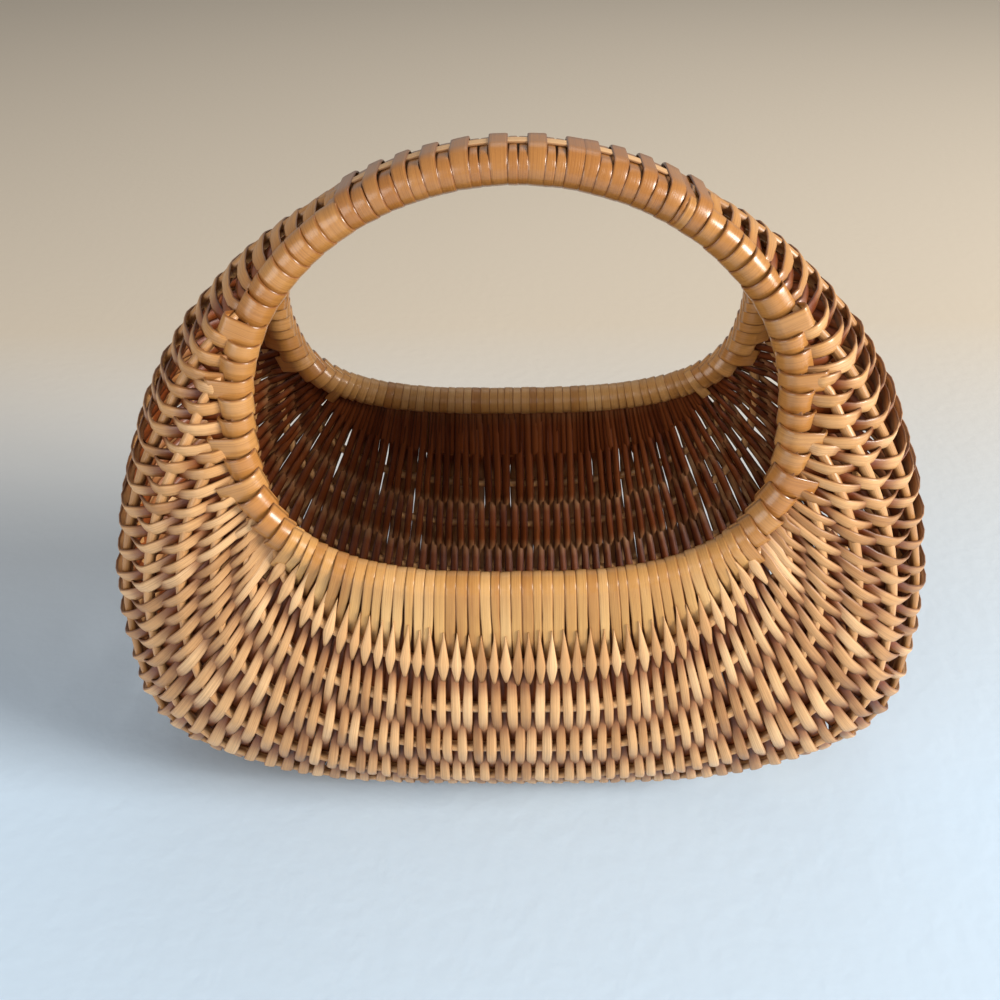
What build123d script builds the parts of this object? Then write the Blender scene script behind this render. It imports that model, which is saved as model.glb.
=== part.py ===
"""Woven willow market basket: two hoops bound together as the handle, ribs, and a plain-woven wall.

Millimetres, +Z up, the base's middle at the origin, the handle running along X.
A weaver pass lies in a plane that holds the Y direction and the hoop's outward direction,
so each pass is a U: from the front hoop, round the outside of the ribs, to the back hoop.
"""
import os
from bisect import bisect_left
from dataclasses import dataclass
from math import cos, copysign, hypot, radians, sin

from build123d import *

# Hoops: an oval seen from the front, leaning outwards from the handle down to the rim
HOOP_HALF_WIDTH = 97.5
HOOP_TOP_Z = 266.0
HOOP_WIDEST_Z = 196.5
HOOP_RIM_Z = 136.0
HOOP_TOP_ROUNDNESS = 1.9
HOOP_RIM_ROUNDNESS = 2.9
HOOP_LEAN = 1.23
HANDLE_HALF_DEPTH = 6.4
RIM_HALF_DEPTH = 69.0
ROD_RADIUS = 4.6

# Keel: the basket's outermost line, seen from the front; its top is bound in with the hoops' tops
KEEL_HALF_WIDTH = 165.0
KEEL_ABOVE_HOOPS = 1.5
KEEL_TOP_Z = HOOP_TOP_Z + KEEL_ABOVE_HOOPS
KEEL_WIDEST_Z = 81.5
KEEL_BASE_Z = 1.2
KEEL_TOP_ROUNDNESS = 2.0
KEEL_BASE_ROUNDNESS = 3.7

# Shape of a pass between hoop and keel
BULGE = 0.13
SIDE_SQUARENESS = 2.35
BASE_SQUARENESS = 3.4

# Ribs: where each leaves the hoop (degrees round it) and its share of the way to the keel at mid basket
RIB_STARTS = (-33.0, -22.0, -10.0, 1.0, 14.0, 32.0)
RIB_SHARES = (0.17, 0.285, 0.415, 0.56, 0.71, 0.86)
RIB_SWEEP = 2.2
RIB_RADIUS = 2.0
RIB_SIDES = 5
RIB_STRIDE = 2
ROD_STRIDE = 2

# Weave
PASSES_EACH_SIDE = 29
SPLIT_TURN = 52.0
WALL_THICKNESS = 2.5
STROKE_HEIGHT = 1.8
INNER_RIPPLE = 0.6
BASE_WEAR = 0.05
FULL_STROKE_SPACING = 9.0
KEEL_SPREAD = 0.45
WRAP_RADIUS = 6.3
WRAP_RIDGE = 0.45
WRAP_SLIT = (14.0, 26.0)
WRAP_SHOULDER = 130.0
WRAP_ROOM = 1.5
WRAP_SIDES = 5

# Gaps left beside the ribs where the weave opens at the basket's ends
GAP_TURNS = (-46.0, 12.0)
GAP_RIBS = (2, 3, 4)
GAP_LENGTH = 5.0
GAP_WIDTH = 2.6
GAP_PLACE = 0.27

# Handle binding and the skein laced along its top
BINDING_TURNS_EACH_SIDE = 12
BINDING_RADIUS = 6.9
BINDING_RIDGE = 0.5
BINDING_BORE = 5.35
BINDING_ARC = (90.0, 135.0, 180.0, 225.0, 270.0)
LACING_WIDTH = 6.0
LACING_THICKNESS = 0.9

# Clearances
ROD_CLEARANCE = 0.8
RIB_CLEARANCE = 0.3
RIB_END_CLEARANCE = 0.9
SEAT_CLEARANCE = 0.2

BOTTOM_TURN = -90.0
TOP_TURN = 90.0
CURVE_STEPS = 48


def oval(turn, half_width, middle, rise, drop, top_roundness, base_roundness):
    """Point of a flattened oval at an angle in degrees: 90 is the top, -90 the bottom."""
    s = sin(radians(turn))
    c = cos(radians(turn))
    roundness = top_roundness if s >= 0 else base_roundness
    x = copysign(half_width * abs(c) ** (2 / roundness), c)
    z = middle + copysign((rise if s >= 0 else drop) * abs(s) ** (2 / roundness), s)
    return x, z


def hoop_point(turn):
    """Front-view point of the hoop and its distance from the middle plane."""
    x, z = oval(
        turn,
        HOOP_HALF_WIDTH,
        HOOP_WIDEST_Z,
        HOOP_TOP_Z - HOOP_WIDEST_Z,
        HOOP_WIDEST_Z - HOOP_RIM_Z,
        HOOP_TOP_ROUNDNESS,
        HOOP_RIM_ROUNDNESS,
    )
    fall = min(1.0, max(0.0, (HOOP_TOP_Z - z) / (HOOP_TOP_Z - HOOP_RIM_Z)))
    half_depth = HANDLE_HALF_DEPTH + (RIM_HALF_DEPTH - HANDLE_HALF_DEPTH) * fall**HOOP_LEAN
    return x, z, half_depth


def outward(turn):
    """Unit direction in the front view that points away from the hoop."""
    x0, z0, _ = hoop_point(turn - 1.0)
    x1, z1, _ = hoop_point(turn + 1.0)
    length = hypot(x1 - x0, z1 - z0)
    return (z1 - z0) / length, -(x1 - x0) / length


def keel_distance(x, z, nx, nz):
    """Distance from a hoop point to the keel along its outward direction."""
    near = 0.0
    far = 2.0 * KEEL_HALF_WIDTH
    while far - near > 0.001:
        way = (near + far) / 2
        height = z + nz * way - KEEL_WIDEST_Z
        above = height >= 0
        rise = KEEL_TOP_Z - KEEL_WIDEST_Z if above else KEEL_WIDEST_Z - KEEL_BASE_Z
        roundness = KEEL_TOP_ROUNDNESS if above else KEEL_BASE_ROUNDNESS
        share = abs((x + nx * way) / KEEL_HALF_WIDTH) ** roundness + abs(height / rise) ** roundness
        if share < 1.0:
            near = way
        else:
            far = way
    return near


@dataclass
class Station:
    """One plane across the basket: a weaver pass, or a turn of the handle binding."""

    turn: float
    side: int

    def __post_init__(self):
        self.x, self.z, self.half = hoop_point(self.turn)
        self.nx, self.nz = outward(self.turn)
        reach = keel_distance(self.x, self.z, self.nx, self.nz)
        squareness = SIDE_SQUARENESS + (BASE_SQUARENESS - SIDE_SQUARENESS) * max(0.0, -self.nz) ** 1.5
        self.curve = []
        self.lengths = [0.0]
        for step in range(CURVE_STEPS + 1):
            s = 1 - (1 - step / CURVE_STEPS) ** 3
            swell = 1 + 4 * BULGE * s * (1 - s)
            y = -self.half * swell * (1 - s**squareness) ** (1 / squareness)
            self.curve.append((y, reach * s))
        for (y0, w0), (y1, w1) in zip(self.curve, self.curve[1:]):
            self.lengths.append(self.lengths[-1] + hypot(y1 - y0, w1 - w0))

    def place(self, y, w):
        """Point in space from a depth y and a distance w outwards from the hoop."""
        return Vector(self.side * (self.x + self.nx * w), y, max(-BASE_WEAR, self.z + self.nz * w))

    def on_curve(self, share, offset=0.0):
        """Depth and outward distance at a share of the way to the keel, pushed out by offset."""
        if share >= 1.0:
            return 0.0, self.curve[-1][1] + offset
        length = share * self.lengths[-1]
        i = min(max(bisect_left(self.lengths, length), 1), CURVE_STEPS)
        part = (length - self.lengths[i - 1]) / (self.lengths[i] - self.lengths[i - 1])
        (y0, w0), (y1, w1) = self.curve[i - 1], self.curve[i]
        step = hypot(y1 - y0, w1 - w0)
        y = y0 + (y1 - y0) * part - (w1 - w0) / step * offset
        w = w0 + (w1 - w0) * part + (y1 - y0) / step * offset
        return y, w

    def on_hoop(self, angle, radius, back=False):
        """Point round a hoop's centre: 0 degrees faces the basket's inside, 90 points outwards."""
        y = -self.half + radius * cos(radians(angle))
        return self.place(-y if back else y, radius * sin(radians(angle)))

    def rib_share(self, rib):
        """Share of the way to the keel at which a rib crosses this plane, or 0 before it starts."""
        start = RIB_STARTS[rib]
        if self.turn >= start:
            return 0.0
        run = (start - self.turn) / (start - BOTTOM_TURN)
        return RIB_SHARES[rib] * (1 - (1 - run) ** RIB_SWEEP)

    def crossings(self):
        """Rib shares in order, kept apart where ribs haven't yet left the hoop."""
        first = WRAP_ROOM * WRAP_RADIUS / self.lengths[-1]
        gap = (1.0 - first) / (4 * len(RIB_SHARES))
        shares = []
        for rib in range(len(RIB_SHARES)):
            floor = shares[-1] + gap if shares else first
            shares.append(max(self.rib_share(rib), floor))
        return shares + [1.0]


def spread_turns(first, last, count, keel_spread=0.0):
    """Angles that divide the hoop into equal lengths, or a mean of the hoop's and the keel's."""
    samples = [first + (last - first) * k / 400 for k in range(401)]
    lengths = [0.0]
    for a, b in zip(samples, samples[1:]):
        xa, za, ya = hoop_point(a)
        xb, zb, yb = hoop_point(b)
        along_hoop = hypot(hypot(xb - xa, zb - za), yb - ya)
        along_keel = 0.0
        if keel_spread:
            start = Station(a, 1).place(*Station(a, 1).on_curve(1.0))
            end = Station(b, 1).place(*Station(b, 1).on_curve(1.0))
            along_keel = (end - start).length
        lengths.append(lengths[-1] + along_hoop * (1 - keel_spread) + along_keel * keel_spread)
    turns = []
    for k in range(count + 1):
        i = min(bisect_left(lengths, lengths[-1] * k / count), 400)
        turns.append(samples[i])
    return turns


def woven_section(station, number):
    """Closed outline of one pass: wrap round the front hoop, wall, wrap round the back hoop."""
    slit_low, slit_high = WRAP_SLIT
    wrap = WRAP_RADIUS + (WRAP_RIDGE if number % 2 else 0.0)
    bore = ROD_RADIUS + ROD_CLEARANCE
    shares = station.crossings()
    outer = []
    inner = []
    last = 0.0
    for rib, share in enumerate(shares):
        over = 1 if (number + rib) % 2 == 0 else -1
        relief = min(1.0, (share - last) * station.lengths[-1] / FULL_STROKE_SPACING)
        outer.append(station.on_curve(share, WALL_THICKNESS + over * relief * STROKE_HEIGHT))
        inner.append(station.on_curve(share, max(0, over) * relief * INNER_RIPPLE))
        last = share

    def hook(back):
        outside = [
            station.on_hoop(WRAP_SHOULDER + (360 + slit_low - WRAP_SHOULDER) * k / WRAP_SIDES, wrap, back)
            for k in range(WRAP_SIDES + 1)
        ]
        bored = [
            station.on_hoop(360 + slit_low - (360 + slit_low - slit_high) * k / WRAP_SIDES, bore, back)
            for k in range(WRAP_SIDES + 1)
        ]
        return outside + bored + [station.on_hoop(slit_high, wrap, back)]

    points = hook(back=False)
    points += [station.place(y, w) for y, w in inner]
    points += [station.place(-y, w) for y, w in reversed(inner[:-1])]
    points += reversed(hook(back=True))
    points += [station.place(-y, w) for y, w in outer]
    points += [station.place(y, w) for y, w in reversed(outer[:-1])]
    return Wire.make_polygon(points, close=True)


def gap_cutters(passes):
    """Small slots through the wall beside the ribs, between one pass and the next."""
    low, high = GAP_TURNS
    slots = []
    for (number, near), (_, far) in zip(passes, passes[1:]):
        if not low < min(near.turn, far.turn) or not max(near.turn, far.turn) < high:
            continue
        for rib in GAP_RIBS:
            shares = near.crossings(), far.crossings()
            if min(share[rib] - share[rib - 1] for share in shares) * near.lengths[-1] < 2 * GAP_LENGTH:
                continue
            if (number + rib) % 2:
                continue
            spots = []
            for station, share in zip((near, far), shares):
                here = share[rib] + (share[rib + 1] - share[rib]) * GAP_PLACE
                spots.append((station.on_curve(here), station.on_curve(here, 1.0)))
            for flip in (1, -1):
                (low_in, low_out), (high_in, high_out) = (
                    [station.place(flip * y, w) for y, w in spot]
                    for station, spot in zip((near, far), spots)
                )
                normal = (low_out - low_in) + (high_out - high_in)
                slot = Plane(origin=(low_in + high_in) / 2, x_dir=high_in - low_in, z_dir=normal)
                slots.append(slot * Box(GAP_WIDTH, GAP_LENGTH, 6 * WALL_THICKNESS))
    return slots


def make_woven_wall(passes):
    """One solid for the plain weave, with a stroke over or under every rib on every pass.

    The strokes that the basket stands on are worn flat.
    """
    sections = [woven_section(station, abs(number)) for number, station in passes]
    wall = Solid.make_loft(sections, ruled=True)
    worn_off = Pos(0, 0, -BASE_WEAR) * Box(2 * KEEL_HALF_WIDTH, 4 * RIM_HALF_DEPTH, 2 * BASE_WEAR)
    return wall.cut(worn_off, *gap_cutters(passes))


def rod_section(station, back):
    """Outline of a hoop's rod in one plane, parallel to the wrap's bore."""
    slit_low, slit_high = WRAP_SLIT
    span = 360 + slit_low - slit_high
    angles = [slit_high + span * k / WRAP_SIDES for k in range(WRAP_SIDES + 1)]
    points = [station.on_hoop(angle, ROD_RADIUS, back) for angle in angles]
    return Wire.make_polygon(points, close=True)


def make_hoop(half_loop, back):
    """Closed bent rod: one half lofted from rim to handle, mirrored and joined."""
    stations = half_loop[:-1:ROD_STRIDE] + half_loop[-1:]
    half = Solid.make_loft([rod_section(station, back) for station in stations], ruled=True)
    return half + half.mirror(Plane.YZ)


def make_rib(passes, rib, back):
    """Round rib lying against the wall's inside, from hoop to hoop end; rib -1 is the keel."""
    seat = -(RIB_RADIUS + RIB_CLEARANCE)
    sections = []
    for number, station in passes:
        if number % RIB_STRIDE:
            continue
        share = 1.0 if rib < 0 else station.rib_share(rib)
        y, w = station.on_curve(share, seat)
        clear = WRAP_RADIUS + WRAP_RIDGE + RIB_RADIUS + RIB_END_CLEARANCE
        if hypot(y + station.half, w) < clear or share * station.lengths[-1] < clear:
            continue
        ring = []
        for k in range(RIB_SIDES):
            angle = radians(90 + 360 * k / RIB_SIDES)
            py = y + RIB_RADIUS * cos(angle)
            ring.append(station.place(-py if back else py, w + RIB_RADIUS * sin(angle)))
        sections.append(Wire.make_polygon(ring, close=True))
    return Solid.make_loft(sections, ruled=True)


def binding_section(station, radius):
    """Outline that runs round both hoops where they lie side by side."""
    front = [station.on_hoop(angle, radius) for angle in BINDING_ARC]
    back = [station.on_hoop(angle, radius, back=True) for angle in reversed(BINDING_ARC)]
    return Wire.make_polygon(front + back, close=True)


def make_handle_binding(stations):
    """Sleeve of close turns round the two hoops, one ridge to a turn."""
    outside = [
        binding_section(station, BINDING_RADIUS + (BINDING_RIDGE if number % 2 else 0.0))
        for number, station in stations
    ]
    bore = [binding_section(station, BINDING_BORE) for _, station in stations]
    return Solid.make_loft(outside, ruled=True) - Solid.make_loft(bore, ruled=True)


def make_handle_lacing(stations):
    """Flat skein along the top of the handle, rising over every ridge of the binding."""
    sections = []
    for number, station in stations:
        under = BINDING_RADIUS + (BINDING_RIDGE if number % 2 else 0.0) + SEAT_CLEARANCE
        low, high = under, under + LACING_THICKNESS
        edge = LACING_WIDTH / 2
        corners = ((-edge, low), (edge, low), (edge, high), (-edge, high))
        sections.append(Wire.make_polygon([station.place(y, w) for y, w in corners], close=True))
    return Solid.make_loft(sections, ruled=True)


def make_basket():
    """All the basket's pieces by node name."""
    turns = spread_turns(BOTTOM_TURN, SPLIT_TURN, PASSES_EACH_SIDE, KEEL_SPREAD)
    right = [(number, Station(turn, 1)) for number, turn in enumerate(turns)]
    left = [(-number, Station(turn, -1)) for number, turn in enumerate(turns) if number]
    passes = left[::-1] + right

    handle_turns = spread_turns(SPLIT_TURN + 0.6, TOP_TURN, BINDING_TURNS_EACH_SIDE)
    handle_right = [(number, Station(turn, 1)) for number, turn in enumerate(handle_turns)]
    handle_left = [(number, Station(turn, -1)) for number, turn in enumerate(handle_turns[:-1])]
    handle = handle_left + handle_right[::-1]
    half_loop = [station for _, station in right + handle_right]

    parts = {
        "front_hoop": make_hoop(half_loop, back=False),
        "back_hoop": make_hoop(half_loop, back=True),
        "keel_rib": make_rib(passes, -1, back=False),
        "woven_wall": make_woven_wall(passes),
        "handle_binding": make_handle_binding(handle),
        "handle_lacing": make_handle_lacing(handle),
    }
    for rib in range(len(RIB_STARTS)):
        parts[f"front_rib_{rib + 1}"] = make_rib(passes, rib, back=False)
        parts[f"back_rib_{rib + 1}"] = make_rib(passes, rib, back=True)
    return parts


os.makedirs("parts", exist_ok=True)
for name, shape in make_basket().items():
    export_step(shape, f"parts/{name}.step")
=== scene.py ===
"""Dresses the woven willow basket: skeins, wraps, ribs, handle, finishes, light and camera."""
import logging
import math
import random
from bisect import bisect_left
from dataclasses import dataclass, field
from enum import Enum

import bmesh
import bpy
from mathutils import Matrix, Vector

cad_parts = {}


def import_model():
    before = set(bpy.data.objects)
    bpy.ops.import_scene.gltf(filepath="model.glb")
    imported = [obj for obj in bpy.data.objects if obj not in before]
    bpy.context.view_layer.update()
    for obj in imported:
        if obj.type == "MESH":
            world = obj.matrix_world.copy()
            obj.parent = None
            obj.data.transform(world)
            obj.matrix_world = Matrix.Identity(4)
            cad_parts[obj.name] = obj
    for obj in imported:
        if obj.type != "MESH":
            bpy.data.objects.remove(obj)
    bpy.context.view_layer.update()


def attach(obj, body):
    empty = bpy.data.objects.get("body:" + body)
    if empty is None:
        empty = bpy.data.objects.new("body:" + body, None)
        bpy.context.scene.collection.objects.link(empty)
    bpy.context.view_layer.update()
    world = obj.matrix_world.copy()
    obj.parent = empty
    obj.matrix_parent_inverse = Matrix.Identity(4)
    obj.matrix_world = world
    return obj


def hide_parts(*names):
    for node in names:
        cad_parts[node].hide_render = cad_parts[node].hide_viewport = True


LOG = logging.getLogger("basket")
MM = 0.001
Span = tuple[float, float]
Colour = tuple[float, float, float]
Place = tuple[float, float, float]
Socket = bpy.types.NodeSocket


def smooth(share: float) -> float:
    """Eases from 0 to 1 as a share goes from 0 to 1, and holds beyond."""
    share = min(1.0, max(0.0, share))
    return share * share * (3.0 - 2.0 * share)


def between(start: float, end: float, share: float) -> float:
    """Value at a share of the way from one number to another."""
    return start + (end - start) * share


@dataclass(frozen=True)
class Change:
    """A smooth change from 0 to 1: the value it starts at, and how much of the value it takes."""

    start: float
    run: float

    def at(self, value: float) -> float:
        """How far the change has gone at a value."""
        return smooth((value - self.start) / self.run)


class Side(Enum):
    """Which of the two hoops a rib or a wrap belongs to; the value mirrors its depth."""

    FRONT = 1
    BACK = -1


class Level(Enum):
    """How a skein crosses a rib."""

    OVER = 1
    UNDER = -1


@dataclass(frozen=True)
class BasketForm:
    """The basket's driving sizes in millimetres, the same as the fixed frame's."""

    hoop_half_width: float = 97.5
    hoop_top: float = 266.0
    hoop_widest: float = 196.5
    hoop_rim: float = 136.0
    hoop_top_roundness: float = 1.9
    hoop_rim_roundness: float = 2.9
    hoop_lean: float = 1.23
    handle_half_depth: float = 6.4
    rim_half_depth: float = 69.0
    keel_half_width: float = 165.0
    keel_top: float = 267.5
    keel_widest: float = 81.5
    keel_base: float = 1.2
    keel_top_roundness: float = 2.0
    keel_base_roundness: float = 3.7
    keel_precision: float = 0.01
    bulge: float = 0.13
    side_squareness: float = 2.35
    base_squareness: float = 3.4
    rib_starts: tuple[float, ...] = (-33.0, -22.0, -10.0, 1.0, 14.0, 32.0)
    rib_shares: tuple[float, ...] = (0.17, 0.285, 0.415, 0.56, 0.71, 0.86)
    rib_sweep: float = 2.2
    split: float = 52.0
    bottom: float = -90.0
    top: float = 90.0
    outward_step: float = 1.0
    local_step: float = 0.25

    def hoop(self, turn: float) -> tuple[float, float, float]:
        """Point of the hoop at an angle.

        Args:
            turn: Degrees round the hoop, 90 at the handle's top and -90 at the rim's middle.

        Returns:
            Front-view x and z, and the distance from the middle plane.
        """
        s = math.sin(math.radians(turn))
        c = math.cos(math.radians(turn))
        roundness = self.hoop_top_roundness if s >= 0 else self.hoop_rim_roundness
        rise = self.hoop_top - self.hoop_widest if s >= 0 else self.hoop_widest - self.hoop_rim
        x = math.copysign(self.hoop_half_width * abs(c) ** (2 / roundness), c)
        z = self.hoop_widest + math.copysign(rise * abs(s) ** (2 / roundness), s)
        fall = min(1.0, max(0.0, (self.hoop_top - z) / (self.hoop_top - self.hoop_rim)))
        return x, z, between(self.handle_half_depth, self.rim_half_depth, fall**self.hoop_lean)

    def _chord(self, turn: float, step: float) -> Span:
        """Front-view x and z of the hoop's chord from a step before an angle to a step after."""
        (x0, z0, _), (x1, z1, _) = self.hoop(turn - step), self.hoop(turn + step)
        return x1 - x0, z1 - z0

    def outward(self, turn: float) -> Span:
        """Front-view unit direction away from the hoop at an angle."""
        dx, dz = self._chord(turn, self.outward_step)
        return dz / math.hypot(dx, dz), -dx / math.hypot(dx, dz)

    def degrees(self, turn: float, distance: float) -> float:
        """Change of angle at a place on the hoop that covers a small distance in millimetres."""
        return 2 * self.local_step * distance / math.hypot(*self._chord(turn, self.local_step))

    def keel_distance(self, x: float, z: float, nx: float, nz: float) -> float:
        """Distance from a hoop point to the keel.

        Args:
            x: Front-view x of the hoop point.
            z: Its height.
            nx: The outward direction's x.
            nz: The outward direction's z.

        Returns:
            The distance in millimetres.
        """
        near, far = 0.0, 2.0 * self.keel_half_width
        while far - near > self.keel_precision:
            way = (near + far) / 2
            height = z + nz * way - self.keel_widest
            if height >= 0:
                rise, roundness = self.keel_top - self.keel_widest, self.keel_top_roundness
            else:
                rise, roundness = self.keel_widest - self.keel_base, self.keel_base_roundness
            share = abs((x + nx * way) / self.keel_half_width) ** roundness
            share += abs(height / rise) ** roundness
            near, far = (way, far) if share < 1.0 else (near, way)
        return near

    def rib_share(self, rib: int, turn: float) -> float:
        """Share of the way to the keel at which a rib crosses a plane.

        Args:
            rib: Index of the rib, 0 nearest the rim; the count of ribs is the keel.
            turn: The plane's angle round the hoop.

        Returns:
            The share, or 0 where the rib hasn't left the hoop.
        """
        if rib == len(self.rib_starts):
            return 1.0
        start = self.rib_starts[rib]
        if turn >= start:
            return 0.0
        run = min(1.0, (start - turn) / (start - self.bottom))
        return self.rib_shares[rib] * (1 - (1 - run) ** self.rib_sweep)


class Pass:
    """One plane across the basket, from the front hoop round the keel to the back hoop."""

    STEPS = 40
    STEP_POWER = 3
    LEAN_POWER = 1.5
    CREST = 0.985
    CREST_RUN = 0.015

    def __init__(self, form: BasketForm, turn: float, mirror: int) -> None:
        """Sets up the plane.

        Args:
            form: The basket's sizes.
            turn: Degrees round the hoop.
            mirror: 1 on the right of the basket, -1 on the left.
        """
        self.turn, self.mirror = turn, mirror
        self.x, self.z, self.half = form.hoop(turn)
        self.nx, self.nz = form.outward(turn)
        self.reach = form.keel_distance(self.x, self.z, self.nx, self.nz)
        lean = max(0.0, -self.nz) ** self.LEAN_POWER
        square = between(form.side_squareness, form.base_squareness, lean)
        self.curve: list[Span] = []
        for step in range(self.STEPS + 1):
            s = 1 - (1 - step / self.STEPS) ** self.STEP_POWER
            y = -self.half * (1 + 4 * form.bulge * s * (1 - s)) * (1 - s**square) ** (1 / square)
            self.curve.append((y, self.reach * s))
        self.lengths = [0.0]
        for (y0, w0), (y1, w1) in zip(self.curve, self.curve[1:]):
            self.lengths.append(self.lengths[-1] + math.hypot(y1 - y0, w1 - w0))

    @property
    def length(self) -> float:
        """Length from the hoop to the keel in millimetres."""
        return self.lengths[-1]

    def place(self, y: float, w: float) -> Vector:
        """Point in space, in metres, from a depth and a distance outwards from the hoop."""
        return Vector((self.mirror * (self.x + self.nx * w), y, self.z + self.nz * w)) * MM

    def outwards(self, y: float, w: float) -> Vector:
        """Direction in space of a depth and an outward component."""
        return Vector((self.mirror * self.nx * w, y, self.nz * w)).normalized()

    def aside(self, distance: float) -> Vector:
        """Shift in space, in metres, square to the plane by a distance in millimetres."""
        return Vector((self.mirror * -self.nz, 0.0, self.nx)) * (distance * MM)

    def at(self, share: float) -> tuple[float, float, float, float]:
        """Point and outward normal on the rib surface.

        Args:
            share: 0 at the front hoop, 1 at the keel, 2 at the back hoop.

        Returns:
            Depth, outward distance, and the normal's depth and outward components.
        """
        flip = 1.0
        if share > 1.0:
            share, flip = 2.0 - share, -1.0
        target = max(0.0, share) * self.length
        i = min(self.STEPS, max(1, bisect_left(self.lengths, target)))
        part = (target - self.lengths[i - 1]) / (self.lengths[i] - self.lengths[i - 1])
        (y0, w0), (y1, w1) = self.curve[i - 1], self.curve[i]
        size = math.hypot(y1 - y0, w1 - w0)
        ny, nw = -(w1 - w0) / size, (y1 - y0) / size
        if share > self.CREST:
            ease = (share - self.CREST) / self.CREST_RUN
            ny, nw = ny * (1 - ease), between(nw, 1, ease)
        return flip * between(y0, y1, part), between(w0, w1, part), flip * ny, nw


@dataclass
class Knot:
    """One station of a skein: where it is, which way it faces, and how wide it is there."""

    point: Vector
    normal: Vector
    width: float
    thick: float
    twist: float = 0.0
    gloss: float = 1.0
    # Painted shade from 0 to 1, where a skein dives or lies under others; the handle's turns hold
    # an even darkening here too.
    shade: float = 0.0


@dataclass(frozen=True)
class SkeinSection:
    """Cross-section of a skein, from its lower left edge over its face to its lower right."""

    outline: tuple[Span, ...]

    @staticmethod
    def _even(half: tuple[Span, ...]) -> "SkeinSection":
        """A section from its left half."""
        return SkeinSection(half + tuple((-across, up) for across, up in reversed(half)))

    @staticmethod
    def split_skein() -> "SkeinSection":
        """A domed section, for skeins split from a rod."""
        return SkeinSection._even(((-0.5, -0.42), (-0.5, 0.0), (-0.38, 0.34), (-0.16, 0.5)))

    @staticmethod
    def flat() -> "SkeinSection":
        """A flatter section, for skeins laid edge to edge round a rod."""
        return SkeinSection._even(((-0.5, -0.42), (-0.5, 0.2), (-0.44, 0.4), (-0.3, 0.47)))

    @staticmethod
    def round_rod(sides: int = 8) -> "SkeinSection":
        """A round section with a number of sides."""
        turns = [2 * math.pi * k / sides for k in range(sides)]
        return SkeinSection(tuple((0.5 * math.cos(t), 0.5 * math.sin(t)) for t in turns))


class SkeinMesh:
    """Collects swept skeins and turns them into one object."""

    UNDERSIDE = -0.4
    FACE_SPREAD = 0.78
    TONE_SHIFT = 7.0
    WELD = 1e-7

    def __init__(self, name: str, section: SkeinSection) -> None:
        """Starts an empty piece.

        Args:
            name: The object's name.
            section: The cross-section of all its skeins.
        """
        self.name, self.section = name, section
        self.whole = bmesh.new()
        self.count = 0

    def add(self, knots: list[Knot], tone: float, gloss: float) -> None:
        """Sweeps one skein through its stations and adds it to the piece.

        Args:
            knots: The stations, two or more.
            tone: Colour choice of this skein from 0 to 1, kept in the attribute "tone".
            gloss: Share of the golden varnish from 0 to 1, kept in the attribute "gloss".
        """
        around = len(self.section.outline)
        rows = len(knots)
        skein = bmesh.new()
        bmesh.ops.create_grid(skein, x_segments=rows - 1, y_segments=around, size=1.0)
        uv = skein.loops.layers.uv.new("UVMap")
        # The shade layer carries each station's painted shade into the material.
        layers = [skein.verts.layers.float.new(name) for name in ("tone", "gloss", "shade")]
        run = [0.0]
        for a, b in zip(knots, knots[1:]):
            run.append(run[-1] + (b.point - a.point).length)
        cells: dict[int, tuple[int, int]] = {}
        skein.verts.index_update()
        for v in skein.verts:
            row = round((v.co.x + 1) / 2 * (rows - 1))
            cells[v.index] = (row, round((v.co.y + 1) / 2 * around))
        frames = [self._frame(knots, i) for i in range(rows)]
        for v in skein.verts:
            row, col = cells[v.index]
            across, up = self.section.outline[col % around]
            origin, side, normal = frames[row]
            knot = knots[row]
            v.co = origin + side * (across * knot.width * MM) + normal * (up * knot.thick * MM)
            for layer, value in zip(layers, (tone, gloss * knot.gloss, knot.shade)):
                v[layer] = value
        for face in skein.faces:
            face.smooth = True
            for loop in face.loops:
                row, col = cells[loop.vert.index]
                across, up = self.section.outline[col % around]
                # The top face takes less of the UV's width, so the painted edge shade falls on the
                # sides and underside.
                spread = 1.0 if up < self.UNDERSIDE else self.FACE_SPREAD
                loop[uv].uv = (run[row] + tone * self.TONE_SHIFT, 0.5 + across * spread)
        bmesh.ops.remove_doubles(skein, verts=skein.verts, dist=self.WELD)
        bmesh.ops.holes_fill(skein, edges=skein.edges, sides=around)
        bmesh.ops.recalc_face_normals(skein, faces=skein.faces)
        mesh = bpy.data.meshes.new("skein")
        skein.to_mesh(mesh)
        skein.free()
        self.whole.from_mesh(mesh)
        bpy.data.meshes.remove(mesh)
        self.count += 1

    @staticmethod
    def _frame(knots: list[Knot], i: int) -> tuple[Vector, Vector, Vector]:
        """Axes of one station.

        Args:
            knots: All stations of the skein.
            i: The station's index.

        Returns:
            Its origin, side direction and face normal.
        """
        ahead = knots[min(i + 1, len(knots) - 1)].point
        behind = knots[max(i - 1, 0)].point
        along = (ahead - behind).normalized()
        side = along.cross(knots[i].normal).normalized()
        if knots[i].twist:
            side = Matrix.Rotation(knots[i].twist, 3, along) @ side
        return knots[i].point, side, side.cross(along).normalized()

    def finish(self, material: bpy.types.Material) -> bpy.types.Object:
        """Makes the object.

        Args:
            material: Its finish.

        Returns:
            The object, at the origin.
        """
        mesh = bpy.data.meshes.new(self.name)
        self.whole.to_mesh(mesh)
        self.whole.free()
        mesh.materials.append(material)
        piece = bpy.data.objects.new(self.name, mesh)
        bpy.context.scene.collection.objects.link(piece)
        LOG.info("%s: %d skeins, %d faces", self.name, self.count, len(mesh.polygons))
        return piece


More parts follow.
